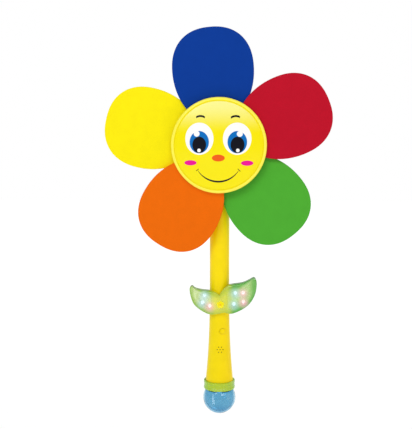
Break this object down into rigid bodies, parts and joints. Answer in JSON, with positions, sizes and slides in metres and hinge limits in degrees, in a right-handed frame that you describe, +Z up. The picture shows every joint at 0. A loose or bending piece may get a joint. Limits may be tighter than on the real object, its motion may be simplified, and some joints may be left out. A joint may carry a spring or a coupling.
{
  "type": "flower pinwheel",
  "caption": "Motor-driven flower pinwheel on a hand-held stick, with foam petals, a domed smiling face, light-up leaves and a clear ball at the end of its grip.",
  "frame": {"origin": "middle of the grip, on the axis of the stick", "axes": "+Z up the stick towards the flower, +Y out of the flat back of the motor housing, -Y out of the flower's face"},
  "size_m": [0.2296, 0.0542, 0.3998],
  "materials": {
    "yellow_plastic": "moulded ABS with a soft gloss",
    "flower_plug_plastic": "glossy moulded plastic",
    "white_plastic": "plain moulded plastic",
    "steel": "bright plated steel",
    "magnet": "sintered ferrite",
    "brass": "sintered bush brass",
    "copper_winding": "enamelled winding on a stacked core",
    "battery_jacket": "printed steel can, left plain",
    "circuit_laminate": "coated circuit laminate",
    "black_plastic": "plain moulded plastic",
    "lead_insulation": "flexible lead insulation",
    "clear_green": "translucent green moulded plastic",
    "led_lens": "clear cast lens",
    "clear_blue": "clear blue moulded plastic",
    "foam_blue": "fine-grained foam sheet",
    "foam_red": "fine-grained foam sheet",
    "foam_green": "fine-grained foam sheet",
    "foam_orange": "fine-grained foam sheet",
    "foam_yellow": "fine-grained foam sheet",
    "face_plastic": "glossy moulded cap with a printed smiling face",
    "gear_nylon": "natural nylon"
  },
  "bodies": {
    "handle": {"handle_front_shell": "yellow_plastic", "handle_rear_shell": "yellow_plastic", "gearbox_plate": "white_plastic", "plate_screw_1": "steel", "plate_screw_2": "steel", "shell_screw_1": "steel", "shell_screw_2": "steel", "shell_screw_3": "steel", "shell_screw_4": "steel", "motor_can": "steel", "motor_end_cap": "white_plastic", "motor_magnet_left": "magnet", "motor_magnet_right": "magnet", "shaft_front_bush": "brass", "shaft_rear_bush": "brass", "idler_pin": "steel", "battery_cell_1": "battery_jacket", "battery_cell_2": "battery_jacket", "battery_cell_3": "battery_jacket", "battery_spring": "steel", "battery_contact": "steel", "circuit_board": "circuit_laminate", "tact_switch": "black_plastic", "buzzer": "black_plastic", "motor_lead": "lead_insulation", "leaf_front_cover": "clear_green", "leaf_rear_cover": "clear_green", "leaf_flower_plug": "flower_plug_plastic", "leaf_screw": "steel", "led_left_1": "led_lens", "led_left_2": "led_lens", "led_left_3": "led_lens", "led_right_1": "led_lens", "led_right_2": "led_lens", "led_right_3": "led_lens", "led_right_4": "led_lens", "leaf_board_left": "white_plastic", "leaf_board_right": "white_plastic", "collar_ring": "clear_green", "globe_shell": "clear_blue", "globe_led": "led_lens", "globe_led_holder": "white_plastic"},
    "battery_cover": {"battery_door": "yellow_plastic", "battery_door_screw": "steel"},
    "button": {"push_button": "yellow_plastic"},
    "flower": {"hub_back_plate": "white_plastic", "petal_clamp": "white_plastic", "petal_blue": "foam_blue", "petal_red": "foam_red", "petal_green": "foam_green", "petal_orange": "foam_orange", "petal_yellow": "foam_yellow", "face_cover": "face_plastic", "hub_screw": "steel", "rotor_shaft": "steel", "output_gear": "gear_nylon"},
    "idler": {"idler_gear": "gear_nylon"},
    "motor_rotor": {"motor_shaft": "steel", "motor_pinion": "gear_nylon", "motor_armature": "copper_winding"}
  },
  "joints": [
    {"name": "flower_spin", "type": "hinge", "parent": "handle", "child": "flower", "pos_m": [0, 0, 0.205], "axis": [0, 1, 0], "continuous": true},
    {"name": "idler_spin", "type": "hinge", "parent": "handle", "child": "idler", "pos_m": [-0.00831, 0, 0.21294], "axis": [0, 1, 0], "continuous": true},
    {"name": "motor_spin", "type": "hinge", "parent": "handle", "child": "motor_rotor", "pos_m": [0, 0, 0.2185], "axis": [0, 1, 0], "continuous": true},
    {"name": "button_press", "type": "slide", "parent": "handle", "child": "button", "axis": [-0.342, 0.9397, 0], "range_m": [0, 0.0005], "stiffness_N_per_m": 1500, "springref_m": -0.0003},
    {"name": "battery_door_lift", "type": "slide", "parent": "handle", "child": "battery_cover", "axis": [0, 1, 0], "range_m": [0, 0.02]}
  ],
  "couplings": [
    {"joint": "idler_spin", "follows": "flower_spin", "ratio": -3.6},
    {"joint": "motor_spin", "follows": "flower_spin", "ratio": 10.8}
  ]
}
